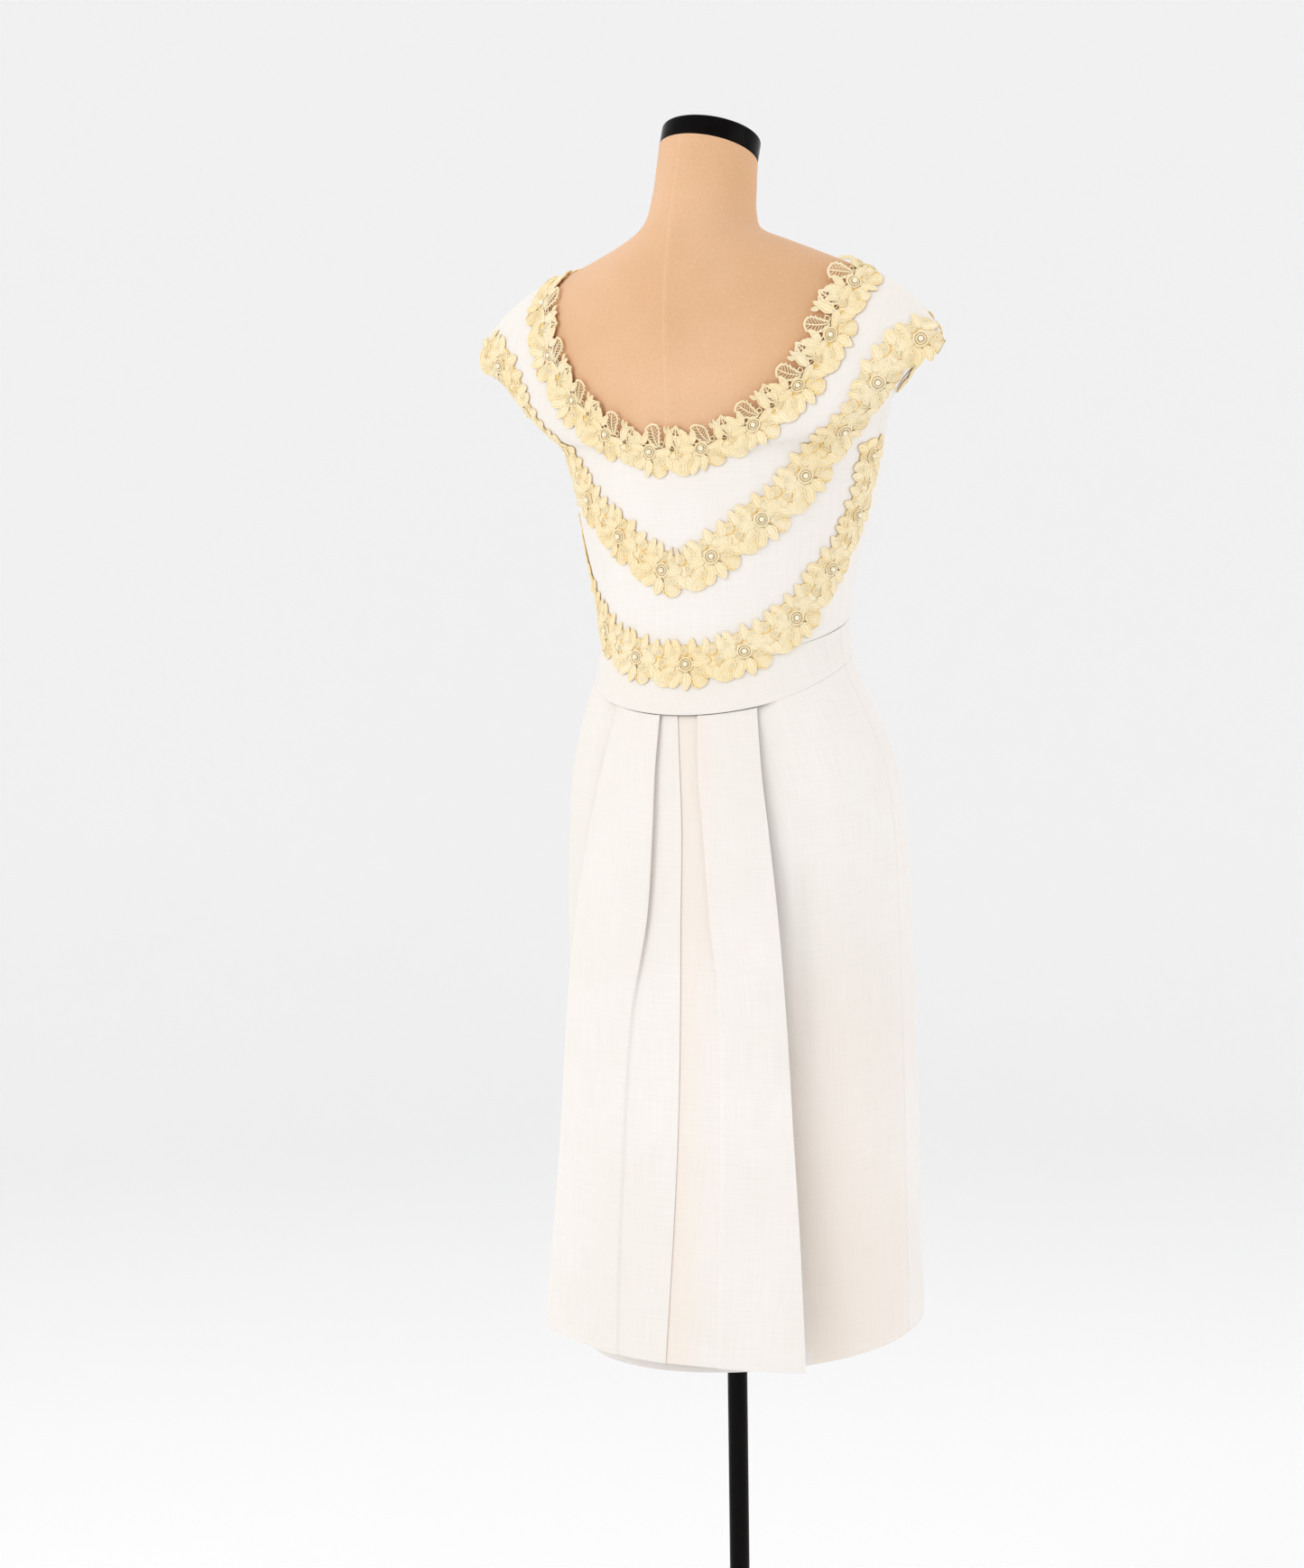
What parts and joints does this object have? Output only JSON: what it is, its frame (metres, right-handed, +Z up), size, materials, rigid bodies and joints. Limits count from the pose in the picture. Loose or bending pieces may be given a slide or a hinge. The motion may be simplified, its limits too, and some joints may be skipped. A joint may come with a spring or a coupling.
{
  "type": "cocktail dress on a limbless dress form with stand",
  "caption": "Ivory sheath cocktail dress with cap sleeves, scalloped lace bands and free back panels, worn by a limbless form on a round-base stand.",
  "frame": {"origin": "centre of the stand base's underside, on the floor below the pole", "axes": "+Z up along the pole, dress front towards -Y, dress back towards +Y, wearer's left towards +X"},
  "size_m": [0.4744, 0.3, 1.5591],
  "materials": {
    "dress_cloth": "ivory linen-look weave, matte",
    "lace": "butter-yellow corded cotton lace, matte",
    "form_cloth": "tan jersey, matte",
    "neck_plate": "black gloss",
    "stand_metal": "black satin paint"
  },
  "bodies": {
    "root": {"bodice_back": "dress_cloth", "bodice_front": "dress_cloth", "waistband_back": "dress_cloth", "waistband_front": "dress_cloth", "skirt_back": "dress_cloth", "skirt_front": "dress_cloth", "hanging_panel_left": "dress_cloth", "hanging_panel_right": "dress_cloth", "lace_neck_back": "lace", "lace_neck_front": "lace", "lace_v_back": "lace", "lace_sleeve_left": "lace", "lace_sleeve_right": "lace", "lace_waist_back": "lace", "form_torso": "form_cloth", "form_neck_cap": "neck_plate", "stand_pole": "stand_metal", "stand_base": "stand_metal"}
  },
  "joints": []
}
